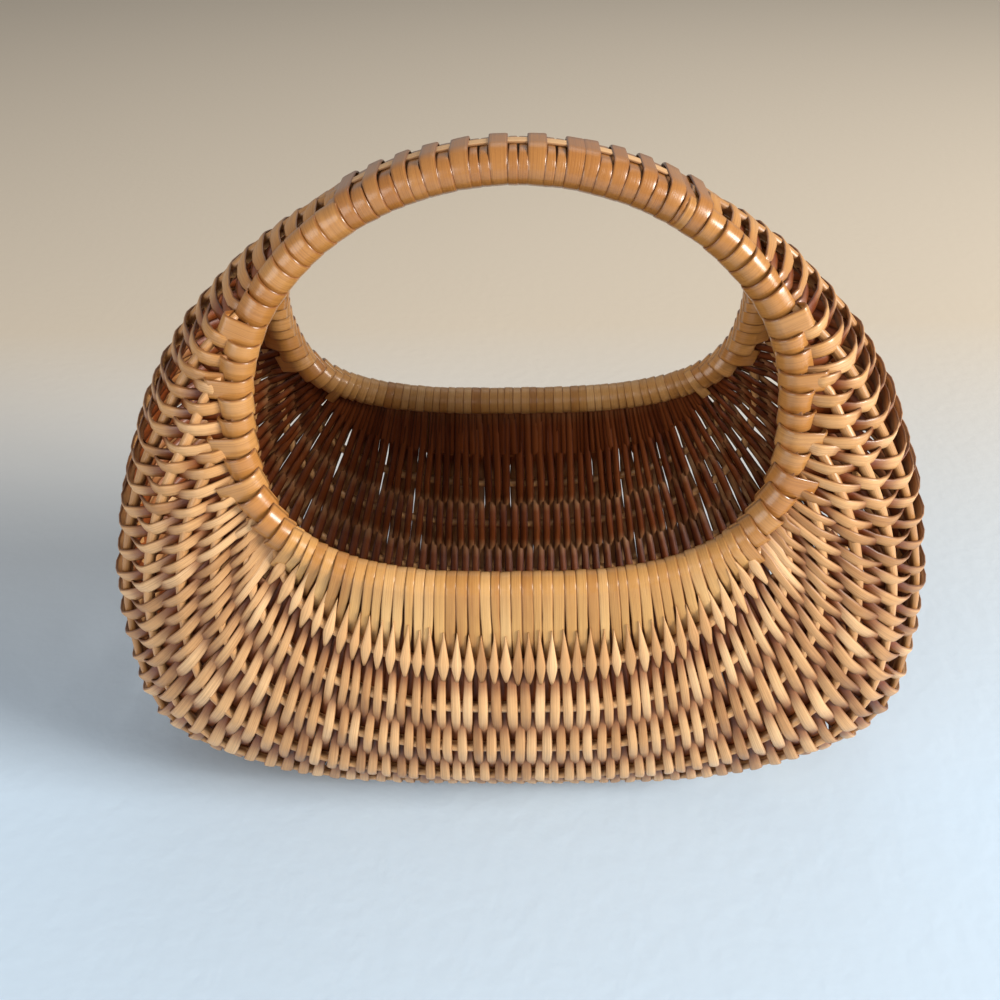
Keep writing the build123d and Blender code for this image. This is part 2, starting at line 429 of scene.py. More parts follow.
@dataclass
class Ribs:
    """The thirteen round rods that the weave passes over and under."""

    form: BasketForm
    thickness: float = 4.2
    tip_share: float = 0.55
    tip_run: float = 40.0
    seat: float = 0.3
    wobble: float = 0.25
    wobble_rate: float = 0.31
    start_clear: float = 5.0
    base_clear: float = 1.2
    turn_step: float = 3.0
    stations: int = 48
    gloss: float = 0.35
    rng: random.Random = field(default_factory=lambda: random.Random(11))

    def build(self, finish: "WillowFinish") -> None:
        """Makes every rib and has each stand for its node.

        Args:
            finish: Supplies the rods' material.
        """
        material = finish.material("rib_rods")
        for rib in range(len(self.form.rib_starts) + 1):
            for side in Side:
                keel = rib == len(self.form.rib_starts)
                if keel and side is Side.BACK:
                    continue
                name = "keel_rib" if keel else f"{side.name.lower()}_rib_{rib + 1}"
                mesh = SkeinMesh(f"{name}_rod", SkeinSection.round_rod())
                mesh.add(self._knots(rib, side), self.rng.random(), self.gloss)
                piece = mesh.finish(material)
                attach(piece, "root")
                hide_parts(name)

    def _knots(self, rib: int, side: Side) -> list[Knot]:
        """Stations of one rib from the left of the basket to the right.

        Args:
            rib: Its index, 0 nearest the rim.
            side: The hoop that it leaves.

        Returns:
            The stations.
        """
        half: list[Knot] = []
        for mirror in (1, -1):
            run = []
            for number in range(self.stations):
                plane = Pass(self.form, self.form.bottom + self.turn_step * number, mirror)
                share = self.form.rib_share(rib, plane.turn)
                length = share * plane.length
                if length < self.start_clear:
                    continue
                y, w, ny, nw = plane.at(share if side is Side.FRONT else 2.0 - share)
                off = self.seat + self.wobble * math.sin(plane.turn * self.wobble_rate + rib)
                point = plane.place(y + ny * off, w + nw * off)
                point.z = max(point.z, (self.thickness / 2 + self.base_clear) * MM)
                thick = self.thickness * min(1.0, self.tip_share + length / self.tip_run)
                run.append(Knot(point, plane.outwards(ny, nw), thick, thick))
            half = run if mirror == 1 else run[::-1] + half[1:]
        return half


@dataclass
class Weave:
    """The plain weave of split skeins between the two hoops."""

    form: BasketForm
    front_pitch: float = 2.8
    side_pitch: float = 4.1
    upper_pitch: float = 3.75
    to_side: Change = Change(-74.0, 34.0)
    to_upper: Change = Change(5.0, 35.0)
    flatter: Change = Change(0.0, 30.0)
    keel_spread: float = 0.66
    plane_step: float = 0.06
    stray: float = 0.35
    rib_clear: float = 7.5
    start_run: float = 7.0
    skein_width: float = 5.3
    skein_thick: float = 1.1
    width_span: Span = (0.84, 1.1)
    full_gap: float = 4.6
    least_gap: float = 2.0
    cover: float = 1.52
    upper_cover: float = 0.24
    waist: float = 0.86
    waist_power: float = 0.7
    lift: float = 2.3
    upper_fall: float = 0.28
    tautness: float = 0.4
    seat: float = 0.3
    crowded: float = 1.5
    ground: float = 1.0
    drift: float = 0.55
    sway: float = 0.3
    sway_rate: float = 9.0
    phase_span: Span = (0, 6.28)
    twist: float = 0.12
    twist_phase: float = 1.7
    twist_rate: float = 7.0
    dive_twist: float = 0.16
    # Painted shade: a skein darkens as it passes under a rib, so the gaps between strokes and the
    # wall's inside look shaded.
    painted_shade_level: float = 0.62
    painted_shade_fall: float = 0.75
    loose_end: float = 0.18
    loose_from: Change = Change(-54.0, 12.0)
    loose_until: Change = Change(2.0, -10.0)
    loosening: Change = Change(1.0, 0.2)
    gloss_start: float = -40.0
    gloss_run: float = 70.0
    steps: tuple[float, ...] = (0.0, 0.12, 0.3, 0.5, 0.7, 0.88)
    rng: random.Random = field(default_factory=lambda: random.Random(23))

    def pitch(self, turn: float) -> float:
        """Distance between passes, closest at the rim's middle and widest at the ends."""
        wide = between(self.front_pitch, self.side_pitch, self.to_side.at(turn))
        return between(wide, self.upper_pitch, self.to_upper.at(turn))

    def planes(self) -> list[float]:
        """Lays out the passes.

        Returns:
            Their angles, from the rim's middle to the handle.
        """
        found = [self.form.bottom]
        travelled, turn = 0.0, self.form.bottom
        last = Pass(self.form, turn, 1)
        while turn < self.form.split:
            turn += self.plane_step
            plane = Pass(self.form, turn, 1)
            hoop, keel = self._gap(last, plane)
            moved = hoop * (1 - self.keel_spread) + keel * self.keel_spread
            moved /= self.pitch(turn)
            if travelled + moved >= len(found):
                found.append(turn - self.plane_step * (travelled + moved - len(found)) / moved)
            travelled += moved
            last = plane
        return found

    @staticmethod
    def _gap(one: Pass, other: Pass) -> Span:
        """Distances between two passes at the hoop and at the keel, in millimetres."""
        hoop = (one.place(-one.half, 0) - other.place(-other.half, 0)).length / MM
        return hoop, (one.place(0, one.reach) - other.place(0, other.reach)).length / MM

    def crossings(self, plane: Pass) -> list[tuple[int, float]]:
        """Finds the ribs that a pass meets.

        Args:
            plane: The pass's plane.

        Returns:
            Each rib's index and share of the way, from the rim to the keel.
        """
        ribs = range(len(self.form.rib_starts) + 1)
        found = [(rib, self.form.rib_share(rib, plane.turn)) for rib in ribs]
        return [(rib, share) for rib, share in found if share * plane.length > self.rib_clear]

    def build(self, finish: "WillowFinish") -> list[bpy.types.Object]:
        """Makes the weave of both ends.

        Args:
            finish: Supplies the skeins' material.

        Returns:
            The pieces.
        """
        planes = self.planes()
        LOG.info("weave: %d passes each side", len(planes))
        pieces = []
        for mirror, name in ((1, "weave_right"), (-1, "weave_left")):
            mesh = SkeinMesh(name, SkeinSection.split_skein())
            for number, turn in enumerate(planes):
                if mirror == -1 and number == 0:
                    continue
                i = min(number, len(planes) - 2)
                gaps = self._gap(*(Pass(self.form, planes[j], 1) for j in (i, i + 1)))
                knots = self._pass_knots(number, turn, mirror, gaps)
                mesh.add(knots, self.rng.random(), self._gloss(turn))
            pieces.append(mesh.finish(finish.material("woven_willow")))
        return pieces

    def _gloss(self, turn: float) -> float:
        """How much golden varnish the skeins have, more towards the handle."""
        return min(1.0, max(0.0, (turn - self.gloss_start) / self.gloss_run))

    def _stops(self, plane: Pass, number: int, gaps: Span) -> tuple[list[float], list[float]]:
        """Where one pass starts, crosses ribs and ends.

        Args:
            plane: The pass's plane.
            number: Its place from the rim's middle, which decides over or under.
            gaps: Distance to the next pass at the hoop and at the keel.

        Returns:
            The stops' shares of the way, and 1 over, -1 under or 0 level at each.
        """
        ribs = self.crossings(plane)
        shares = [share for _, share in ribs]
        levels = [Level.UNDER if (number + rib) % 2 else Level.OVER for rib, _ in ribs]
        if len(ribs) > 1 and ribs[0][0] == 0:
            levels[0] = Level.UNDER
        first = 0
        if gaps[0] < self.crowded and (number // 2) % 2:
            while first < len(ribs) - 1 and between(*gaps, shares[first]) < self.crowded:
                first += 1
        head = 0.0 if first == 0 else shares[first] - self.start_run / plane.length
        stops = [head] + shares[first:] + [2.0 - share for share in reversed(shares[first:-1])]
        heights = [level.value for level in levels[first:]]
        return stops + [2.0 - head], [0.0] + heights + heights[-2::-1] + [0.0]

    def _pass_knots(self, number: int, turn: float, mirror: int, gaps: Span) -> list[Knot]:
        """Stations of one pass from the front hoop to the back hoop.

        Args:
            number: The pass's place from the rim's middle.
            turn: Its angle round the hoop.
            mirror: 1 on the right, -1 on the left.
            gaps: Distance to the next pass at the hoop and at the keel.

        Returns:
            The stations.
        """
        turn += self.form.degrees(turn, self.rng.uniform(-self.stray, self.stray))
        plane = Pass(self.form, turn, mirror)
        stops, heights = self._stops(plane, number, gaps)
        knots = []
        wide = self.skein_width * self.rng.uniform(*self.width_span)
        phase = self.rng.uniform(*self.phase_span)
        drifts = [self.rng.uniform(-self.drift, self.drift) for _ in stops]
        drifts[0] = drifts[-1] = 0.0
        upper = self.flatter.at(turn)
        lift = self.lift * (1.0 - self.upper_fall * upper)
        loose = self.loose_end * self.loose_from.at(turn) * self.loose_until.at(turn)
        for i in range(len(stops) - 1):
            for t in self.steps + ((1.0,) if i == len(stops) - 2 else ()):
                share = between(stops[i], stops[i + 1], t)
                taut = t - self.tautness * math.sin(2 * math.pi * t) / (2 * math.pi)
                rise = between(heights[i], heights[i + 1], taut)
                y, w, ny, nw = plane.at(share)
                local = between(*gaps, min(share, 2.0 - share))
                if local < self.crowded:
                    local *= 2.0
                room = (self.cover + self.upper_cover * upper) * max(local, self.least_gap)
                broad = min(wide * max(1.0, local / self.full_gap), room)
                if mirror == 1 and share > 1.0:
                    broad *= 1.0 - loose * self.loosening.at(share)
                width = between(self.waist * broad, broad, abs(rise) ** self.waist_power)
                off = self.seat + rise * lift
                point = plane.place(y + ny * off, w + nw * off)
                sway = self.sway * math.sin(phase + share * self.sway_rate)
                point += plane.aside(sway + drifts[i] + (drifts[i + 1] - drifts[i]) * t)
                point.z = max(point.z, self.ground * MM)
                turned = math.sin(phase * self.twist_phase + share * self.twist_rate)
                twist = self.twist * turned + self.dive_twist * (1 - abs(rise))
                # Painted shade: none on top of an over-stroke, most where the skein lies under a
                # rib.
                painted_shade = smooth(self.painted_shade_level - self.painted_shade_fall * rise)
                normal = plane.outwards(ny, nw)
                knots.append(Knot(point, normal, width, self.skein_thick, twist, 1.0, painted_shade))
        return knots


@dataclass
class RimWraps:
    """Close wraps round both hoops, with tails down to the first rib, and strokes over it."""

    form: BasketForm
    radius: float = 5.7
    rib_radius: float = 2.5
    pitch: float = 3.7
    side_pitch: float = 7.2
    pitch_vary: float = 0.2
    to_side: Change = Change(-52.0, 30.0)
    turn_step: float = 0.02
    thick: float = 0.85
    cover: float = 1.02
    side_cover: float = 0.12
    gloss: float = 0.52
    side_gloss: float = 0.45
    gloss_span: Span = (-0.12, 0.06)
    flare_reach: float = 10.5
    toward_step: int = 4
    closed_steps: int = 20
    closed_slant: float = 0.04
    closed_radius_span: Span = (-0.1, 0.15)
    tailed_steps: int = 13
    tailed_start: float = 80.0
    tailed_sweep: float = 255.0
    tailed_slant: float = 0.06
    tailed_radius_span: Span = (-0.15, 0.2)
    tail_steps: tuple[float, ...] = (0.3, 0.48, 0.64, 0.78, 0.9, 1.0, 1.1)
    tail_narrow_span: Span = (0.74, 1.0)
    tail_width_span: Span = (0.95, 1.05)
    tail_lean: float = 0.5
    tail_sway: float = 0.12
    tail_dive: float = 1.3
    tail_start: float = 0.95
    tail_fade: float = 1.6
    # Painted shade on the tails' lower ends, where they pass under the strokes.
    tail_painted_shade: Change = Change(0.5, 0.7)
    stroke_pitch: float = 4.1
    stroke_side: float = 1.3
    stroke_vary: float = 0.14
    stroke_stray: float = 0.3
    stroke_gloss: float = 0.1
    stroke_reach: float = 8.0
    stroke_above: float = 14.5
    stroke_above_vary: float = 1.6
    stroke_below: float = 9.5
    stroke_below_vary: float = 0.8
    stroke_highest: float = 0.2
    stroke_over_tails: float = 0.55
    stroke_start: float = 0.7
    stroke_climb: float = 2.1
    stroke_climb_power: float = 0.8
    stroke_crest: float = 2.8
    stroke_dive: float = 3.0
    stroke_dive_power: float = 1.5
    stroke_point: float = 0.03
    stroke_point_power: float = 1.1
    stroke_taper: float = 0.72
    stroke_taper_power: float = 1.15
    stroke_steps: int = 12
    stroke_cover: float = 0.98
    stroke_thick: float = 1.0
    stroke_slant: float = 0.2
    stroke_lean: float = 0.7
    # Painted shade on a stroke's lower end, where it dives under the weave.
    stroke_painted_shade: float = 0.6
    stroke_painted_shade_onset: Change = Change(0.85, 0.2)
    rng: random.Random = field(default_factory=lambda: random.Random(37))

    def _turns(self, pitch: float, side_pitch: float, vary: float) -> list[Span]:
        """Places of strips laid edge to edge from the rim's middle to the handle.

        Args:
            pitch: Mean width along the rim's front.
            side_pitch: Mean width on the hoop's sides.
            vary: How far a strip's own width strays from the mean, as a share.

        Returns:
            Each strip's angle round the hoop and its width.
        """
        turn, travelled = self.form.bottom, 0.0
        turns = [(turn, pitch)]
        stray = self.rng.uniform(1 - vary, 1 + vary)
        x0, z0, y0 = self.form.hoop(turn)
        while turn < self.form.split:
            turn += self.turn_step
            x1, z1, y1 = self.form.hoop(turn)
            travelled += math.hypot(math.hypot(x1 - x0, z1 - z0), y1 - y0)
            x0, z0, y0 = x1, z1, y1
            width = stray * between(pitch, side_pitch, self.to_side.at(turn))
            apart = (turns[-1][1] + width) / 2
            if travelled >= apart:
                turns.append((turn, width))
                travelled -= apart
                stray = self.rng.uniform(1 - vary, 1 + vary)
        return turns

    def build(self, finish: "WillowFinish") -> list[bpy.types.Object]:
        """Makes the wraps and the strokes of both hoops.

        Args:
            finish: Supplies the materials.

        Returns:
            The pieces.
        """
        turns = self._turns(self.pitch, self.side_pitch, self.pitch_vary)
        stroke_side_pitch = self.stroke_pitch * self.stroke_side
        stroke_turns = self._turns(self.stroke_pitch, stroke_side_pitch, self.stroke_vary)
        pieces = []
        for side in Side:
            mesh = SkeinMesh(f"{side.name.lower()}_rim_wraps", SkeinSection.flat())
            strokes = SkeinMesh(f"{side.name.lower()}_rim_strokes", SkeinSection.split_skein())
            for mirror in (1, -1):
                for turn, width in turns if mirror == 1 else turns[1:]:
                    wide = width * (self.cover + self.side_cover * self.to_side.at(turn))
                    knots = self._wrap(Pass(self.form, turn, mirror), side, wide)
                    mesh.add(knots, self.rng.random(), self._wrap_gloss(turn))
                for i, (turn, width) in enumerate(stroke_turns):
                    stray = self.rng.uniform(-self.stroke_stray, self.stroke_stray)
                    plane = Pass(self.form, turn + self.form.degrees(turn, stray), mirror)
                    share = self.form.rib_share(0, plane.turn)
                    if share * plane.length < self.stroke_reach or (mirror == -1 and i == 0):
                        continue
                    knots = self._stroke(plane, side, share, width)
                    strokes.add(knots, self.rng.random(), self.stroke_gloss)
            pieces.append(mesh.finish(finish.material("wrapped_willow")))
            pieces.append(strokes.finish(finish.material("woven_willow")))
        return pieces

    def _wrap_gloss(self, turn: float) -> float:
        """Share of golden varnish on a wrap, most on the hoop's sides."""
        gloss = self.gloss + self.side_gloss * self.to_side.at(turn)
        return gloss + self.rng.uniform(*self.gloss_span)

    def _nearest_rib(self, plane: Pass) -> float:
        """Finds the rib that left the hoop last.

        Args:
            plane: The wrap's plane.

        Returns:
            Its distance in millimetres.
        """
        ribs = range(len(self.form.rib_starts))
        shares = (self.form.rib_share(rib, plane.turn) for rib in ribs)
        return next((share for share in shares if share > 0), 1.0) * plane.length

    def _wrap(self, plane: Pass, side: Side, wide: float) -> list[Knot]:
        """One wrap: round the hoop and a rib that lies beside it, or over it and down a tail.

        Args:
            plane: The wrap's plane.
            side: Its hoop.
            wide: Its width.

        Returns:
            The stations.
        """
        share = self.form.rib_share(0, plane.turn)
        if share * plane.length > self.flare_reach:
            return self._tailed_wrap(plane, side, wide, share)
        flip = side.value
        away = self._nearest_rib(plane)
        (y0, w0), (y1, w1) = plane.curve[0], plane.curve[self.toward_step]
        toward = math.atan2(w1 - w0, y1 - y0)
        reach = away if away < self.flare_reach else 0.0
        open_angle = 0.0
        if reach > self.radius - self.rib_radius:
            open_angle = math.acos((self.radius - self.rib_radius) / reach)
        slant = self.rng.uniform(-self.closed_slant, self.closed_slant)
        radius = self.radius + self.rng.uniform(*self.closed_radius_span)
        knots = []
        for k in range(self.closed_steps + 1):
            angle = toward + math.pi - 2 * math.pi * k / self.closed_steps
            on_rib = abs(math.remainder(angle - toward, 2 * math.pi)) < open_angle
            size, out = (self.rib_radius, reach) if on_rib else (radius, 0.0)
            y = -plane.half + size * math.cos(angle) + out * math.cos(toward)
            w = size * math.sin(angle) + out * math.sin(toward)
            normal = plane.outwards(flip * math.cos(angle), math.sin(angle))
            knots.append(Knot(plane.place(flip * y, w), normal, wide, self.thick, slant))
        return knots

    def _tailed_wrap(self, plane: Pass, side: Side, wide: float, share: float) -> list[Knot]:
        """A wrap over the hoop and down outside it to the first rib.

        Args:
            plane: The wrap's plane.
            side: Its hoop.
            wide: Its width.
            share: The first rib's share of the way to the keel.

        Returns:
            The stations.
        """
        flip = side.value
        radius = self.radius + self.rng.uniform(*self.tailed_radius_span)
        slant = self.rng.uniform(-self.tailed_slant, self.tailed_slant)
        knots = []
        for k in range(self.tailed_steps + 1):
            angle = math.radians(self.tailed_start - self.tailed_sweep * k / self.tailed_steps)
            y = -plane.half + radius * math.cos(angle)
            normal = plane.outwards(flip * math.cos(angle), math.sin(angle))
            point = plane.place(flip * y, radius * math.sin(angle))
            knots.append(Knot(point, normal, wide, self.thick, slant))
        narrow = self.rng.uniform(*self.tail_narrow_span)
        lean = self.rng.uniform(-self.tail_lean, self.tail_lean)
        for t in self.tail_steps:
            y, w, ny, nw = plane.at(share * t)
            off = self._tail_height(t)
            tail = wide * (1.0 - (1 - narrow) * t) * self.rng.uniform(*self.tail_width_span)
            sway = lean * t + self.rng.uniform(-self.tail_sway, self.tail_sway)
            point = plane.place(flip * (y + ny * off), w + nw * off) + plane.aside(sway)
            fade = max(0.0, 1.0 - self.tail_fade * t)
            # Painted shade that grows towards the tail's lower end.
            normal, painted_shade = plane.outwards(flip * ny, nw), self.tail_painted_shade.at(t)
            knots.append(Knot(point, normal, tail, self.thick, slant, fade, painted_shade))
        return knots

    def _tail_height(self, t: float) -> float:
        """Height of a tail over the rib surface, from the hoop at 0 to the first rib at 1."""
        return (1 - t) * self.radius * self.tail_start - self.tail_dive * t

    def _stroke(self, plane: Pass, side: Side, share: float, wide: float) -> list[Knot]:
        """One stroke over the first rib, with a long pointed end that lies on the tails.

        Args:
            plane: The stroke's plane.
            side: Its hoop.
            share: The first rib's share of the way to the keel.
            wide: The stroke's width.

        Returns:
            The stations.
        """
        flip = side.value
        jitter = self.rng.uniform(-1.0, 1.0)
        above = (self.stroke_above + self.stroke_above_vary * jitter) / plane.length
        head = max(self.stroke_highest * share, share - above)
        tail = share + (self.stroke_below + self.stroke_below_vary * jitter) / plane.length
        slant = self.rng.uniform(-self.stroke_slant, self.stroke_slant)
        lean = self.rng.uniform(-self.stroke_lean, self.stroke_lean)
        peak = (share - head) / (tail - head)
        knots = []
        for k in range(self.stroke_steps + 1):
            t = k / self.stroke_steps
            here = between(head, tail, t)
            y, w, ny, nw = plane.at(here)
            if t <= peak:
                climb = t / peak
                over_tails = self._tail_height(here / share) + self.stroke_over_tails
                lifted = self.stroke_start + self.stroke_climb * climb**self.stroke_climb_power
                rise = max(lifted, over_tails)
                part = min(1.0, self.stroke_point + climb**self.stroke_point_power)
            else:
                down = (t - peak) / (1 - peak)
                rise = self.stroke_crest - self.stroke_dive * down**self.stroke_dive_power
                part = 1.0 - self.stroke_taper * down**self.stroke_taper_power
            point = plane.place(flip * (y + ny * rise), w + nw * rise)
            point += plane.aside(lean * max(0.0, 1 - t / peak))
            # Painted shade towards the stroke's diving end.
            painted_shade = self.stroke_painted_shade * self.stroke_painted_shade_onset.at(t)
            normal, width = plane.outwards(flip * ny, nw), wide * self.stroke_cover * part
            twist = slant * (1 - t)
            knots.append(Knot(point, normal, width, self.stroke_thick, twist, 1.0, painted_shade))
        return knots


@dataclass
class Handle:
    """Turns of skein round both hoops at the handle, and the pale skein laced along the top."""

    form: BasketForm
    radius: float = 5.8
    radius_span: Span = (-0.08, 0.12)
    pitch: float = 4.8
    pitch_span: Span = (0.92, 1.08)
    over_width: float = 5.6
    narrow_width: float = 3.35
    width_span: Span = (1.03, 1.08)
    first_over: float = -4.2
    thick: float = 0.85
    slant: float = 0.05
    half_steps: int = 8
    hump_spare: float = 0.35
    over_pinch: float = 1.08
    under_pinch: float = 0.80
    pinching: Change = Change(4, 4)
    humping: Change = Change(5, 3)
    gloss_span: Span = (1.0, 1.2)
    patina: float = 0.2
    angle_step: float = 0.1
    angle_spare: float = 2.0
    paired_left: int = 1
    paired_right: int = 2
    lacing_width: float = 6.0
    lacing_thick: float = 0.9
    lacing_tone: float = 0.85
    lacing_spare: float = 4.0
    lacing_steps: int = 16
    rng: random.Random = field(default_factory=lambda: random.Random(51))

    def _layout(self, length: float, way: int, pairs: int) -> list[tuple[float, float, bool]]:
        """Turns laid edge to edge from the first wide one towards an end of the handle.

        Args:
            length: Distance from the handle's top to its end.
            way: 1 towards the right, -1 towards the left.
            pairs: Count of narrow pairs before the turns become even.

        Returns:
            Each turn's distance from the top, width, and whether it lies over the lacing.
        """
        narrow, over = (self.narrow_width, False), (self.over_width, True)
        paired = [narrow, narrow, over] * pairs
        place, last, laid = self.first_over, self.over_width, []
        while abs(place) < length:
            n = len(laid)
            if n < len(paired):
                wide, on_top = paired[n]
            else:
                wide, on_top = self.pitch * self.rng.uniform(*self.pitch_span), n % 2 == 0
            place += way * (last + wide) / 2
            last = wide
            laid.append((place, wide, on_top))
        return laid[:-1]

    def _angles(self) -> tuple[list[float], list[float]]:
        """Measures along the handle.

        Returns:
            Distances from the handle's top, and the angles round the hoop that they reach.
        """
        turn = self.form.top
        ways, angles = [0.0], [turn]
        x0, z0, _ = self.form.hoop(turn)
        while turn > self.form.split - self.angle_spare:
            turn -= self.angle_step
            x1, z1, _ = self.form.hoop(turn)
            ways.append(ways[-1] + math.hypot(x1 - x0, z1 - z0))
            angles.append(turn)
            x0, z0 = x1, z1
        return ways, angles

    def build(self, finish: "WillowFinish") -> None:
        """Makes the binding and the lacing.

        Args:
            finish: Supplies their materials.
        """
        ways, angles = self._angles()
        binding = SkeinMesh("handle_turns", SkeinSection.flat())
        turns = [(self.first_over, self.over_width, True)]
        turns += self._layout(ways[-1], 1, self.paired_right)
        turns += self._layout(ways[-1], -1, self.paired_left)
        for place, width, over in turns:
            angle = angles[min(bisect_left(ways, abs(place)), len(angles) - 1)]
            knots = self._turn_knots(Pass(self.form, angle, 1 if place >= 0 else -1), width, over)
            binding.add(knots, self.rng.random(), self.rng.uniform(*self.gloss_span))
        bound = binding.finish(finish.material("wrapped_willow"))
        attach(bound, "root")
        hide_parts("handle_binding")
        lacing = SkeinMesh("handle_lacing_skein", SkeinSection.flat())
        lacing.add(self._lacing_knots(), self.lacing_tone, 0.0)
        laced = lacing.finish(finish.material("woven_willow"))
        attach(laced, "root")
        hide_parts("handle_lacing")

    def _lacing_knots(self) -> list[Knot]:
        """Lays the laced skein from the left split over the top to the right one.

        Returns:
            Its stations.
        """
        knots = []
        start, steps = self.form.split + self.lacing_spare, self.lacing_steps
        off = self.radius + self.thick / 2 + self.lacing_thick / 2
        for mirror, order in ((-1, range(steps + 1)), (1, range(steps - 1, -1, -1))):
            for k in order:
                plane = Pass(self.form, start + (self.form.top - start) * k / steps, mirror)
                place, normal = plane.place(0.0, off), plane.outwards(0.0, 1.0)
                knots.append(Knot(place, normal, self.lacing_width, self.lacing_thick))
        return knots

    def _turn_knots(self, plane: Pass, width: float, over: bool) -> list[Knot]:
        """Stations of one closed turn round both hoops.

        Args:
            plane: The turn's plane.
            width: Its width.
            over: Whether the turn passes over the lacing or is pinched under it.

        Returns:
            The stations.
        """
        radius = self.radius + self.rng.uniform(*self.radius_span)
        width *= self.rng.uniform(*self.width_span)
        slant = self.rng.uniform(-self.slant, self.slant)
        hump = self.lacing_thick + self.hump_spare if over else 0.0
        pinch = self.over_pinch if over else self.under_pinch
        knots = []

        def station(y: float, w: float, ny: float, nw: float, share: float) -> None:
            """Adds one station whose width is a share of the turn's own."""
            place, normal, wide = plane.place(y, w), plane.outwards(ny, nw), width * share
            knots.append(Knot(place, normal, wide, self.thick, slant, 1.0, self.patina))

        def straight(y_shares: tuple[float, ...], w: float, nw: float, share: float) -> None:
            """Adds the stations between the two hoops, above or below."""
            for y_share in y_shares:
                station(y_share * plane.half, w, 0.0, nw, share)

        def round_hoop(way: int) -> None:
            """Adds the stations round one hoop, upwards at the back and downwards in front."""
            for k in range(self.half_steps + 1):
                angle = math.radians(-90 * way + 180 * k / self.half_steps)
                climbed = k if way == 1 else self.half_steps - k
                w = (radius + hump * self.humping.at(climbed)) * math.sin(angle)
                y = way * plane.half + radius * math.cos(angle)
                share = between(1.0, pinch, self.pinching.at(climbed))
                station(y, w, math.cos(angle), math.sin(angle), share)

        straight((0.0, 0.5), -radius, -1.0, 1.0)
        round_hoop(1)
        straight((0.45, 0.0, -0.45), radius + hump, 1.0, pinch)
        round_hoop(-1)
        straight((-0.5, 0.0), -radius, -1.0, 1.0)
        return knots


class Nodes:
    """Adds nodes to one shader tree and wires them."""

    def __init__(self, tree: bpy.types.NodeTree) -> None:
        """Keeps the tree."""
        self.tree = tree

    def feed(self, node: bpy.types.Node, inputs: dict) -> None:
        """Gives a node's inputs, by name or number, their sockets or values."""
        for slot, value in inputs.items():
            if isinstance(value, Socket):
                self.tree.links.new(value, node.inputs[slot])
            else:
                node.inputs[slot].default_value = value

    def add(self, kind: str, inputs: dict | None = None, **settings: object) -> bpy.types.Node:
        """Adds a node.

        Args:
            kind: Its type, without the word ShaderNode in front.
            inputs: Sockets or values for its inputs, by name or number.
            settings: Its own settings.

        Returns:
            The node.
        """
        node = self.tree.nodes.new(f"ShaderNode{kind}")
        for setting, value in settings.items():
            setattr(node, setting, value)
        self.feed(node, inputs or {})
        return node

    def math(self, how: str, *values: Socket | float) -> Socket:
        """Result of a math node on sockets and numbers."""
        return self.add("Math", dict(enumerate(values)), operation=how).outputs[0]

    def attribute(self, name: str) -> Socket:
        """Value of a skein's own attribute."""
        return self.add("Attribute", attribute_name=name).outputs["Fac"]

    def noise(self, where: Socket, scale: float, detail: float) -> Socket:
        """Value of a noise texture at a place."""
        inputs = {"Vector": where, "Scale": scale, "Detail": detail}
        return self.add("TexNoise", inputs).outputs[0]

    def bump(self, height: Socket, strength: float, distance: float) -> Socket:
        """Normal of a bumped surface."""
        inputs = {"Height": height, "Strength": strength, "Distance": distance}
        return self.add("Bump", inputs).outputs[0]

    def ramp(self, value: Socket, stops: tuple[tuple[float, Colour], ...]) -> Socket:
        """Colour ramp over a value.

        Args:
            value: The value.
            stops: Places and colours, in order.

        Returns:
            The colour.
        """
        node = self.add("ValToRGB", {0: value})
        elements = node.color_ramp.elements
        for end, (place, colour) in ((0, stops[0]), (1, stops[-1])):
            elements[end].position, elements[end].color = place, (*colour, 1)
        for place, colour in stops[1:-1]:
            elements.new(place).color = (*colour, 1)
        return node.outputs[0]

    def mix(
        self,
        how: str,
        share: Socket | float,
        first: Socket,
        second: Socket | Colour,
    ) -> Socket:
        """Mix of two colours.

        Args:
            how: The blend's name.
            share: How much of the second goes in.
            first: The colour beneath.
            second: The colour on top.

        Returns:
            The mixed colour.
        """
        on_top = (*second, 1) if isinstance(second, tuple) else second
        inputs = {0: share, 6: first, 7: on_top}
        return self.add("Mix", inputs, data_type="RGBA", blend_type=how).outputs[2]


def new_material(name: str) -> tuple[bpy.types.Material, Nodes, bpy.types.Node]:
    """Starts a material.

    Args:
        name: Its name.

    Returns:
        The material, its nodes and its Principled shader.
    """
    material = bpy.data.materials.new(name)
    material.use_nodes = True
    return material, Nodes(material.node_tree), material.node_tree.nodes["Principled BSDF"]


@dataclass(frozen=True)
class WillowTone:
    """Colours of one willow finish, from the darkest strip to the palest, in linear values."""

    strips: tuple[Colour, Colour, Colour, Colour]
    varnish: Colour
    roughness: float
    grain: float


TONES = {
    "woven_willow": WillowTone(
        ((0.38, 0.185, 0.070), (0.54, 0.290, 0.120), (0.66, 0.385, 0.175), (0.76, 0.485, 0.250)),
        varnish=(0.52, 0.240, 0.055),
        roughness=0.44,
        grain=0.5,
    ),
    "wrapped_willow": WillowTone(
        ((0.42, 0.195, 0.055), (0.53, 0.280, 0.085), (0.64, 0.365, 0.125), (0.74, 0.460, 0.190)),
        varnish=(0.42, 0.170, 0.036),
        roughness=0.32,
        grain=0.35,
    ),
    "rib_rods": WillowTone(
        ((0.42, 0.215, 0.085), (0.54, 0.290, 0.120), (0.62, 0.350, 0.155), (0.68, 0.400, 0.190)),
        varnish=(0.48, 0.220, 0.055),
        roughness=0.40,
        grain=0.4,
    ),
}


